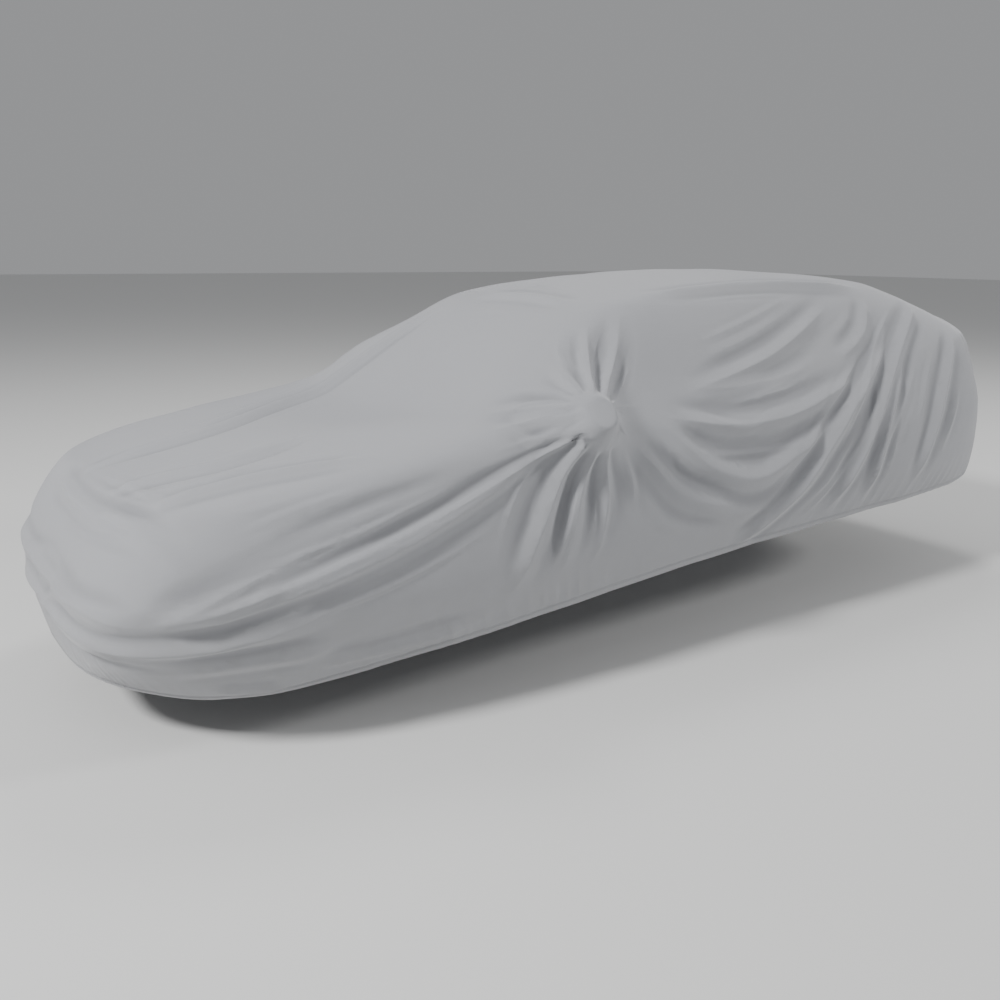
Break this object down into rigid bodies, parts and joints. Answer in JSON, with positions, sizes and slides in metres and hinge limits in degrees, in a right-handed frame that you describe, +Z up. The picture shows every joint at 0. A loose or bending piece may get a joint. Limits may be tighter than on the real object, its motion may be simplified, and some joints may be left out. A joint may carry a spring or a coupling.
{
  "type": "fitted car cover",
  "caption": "Fitted stretch cover for a compact car: one draped, hollow sheet of plain cloth with a pocket pulled out on each side and an elastic hem.",
  "frame": {"origin": "just under the middle of the roof, where the covered car holds the cover up", "axes": "+Z up, -Y towards the nose, +X towards the cover's left side"},
  "size_m": [1.9834, 4.5407, 1.3207],
  "materials": {
    "cover_cloth": "plain light grey stretch cloth, matt with a faint sheen"
  },
  "bodies": {
    "root": {"cover": "cover_cloth"}
  },
  "joints": []
}
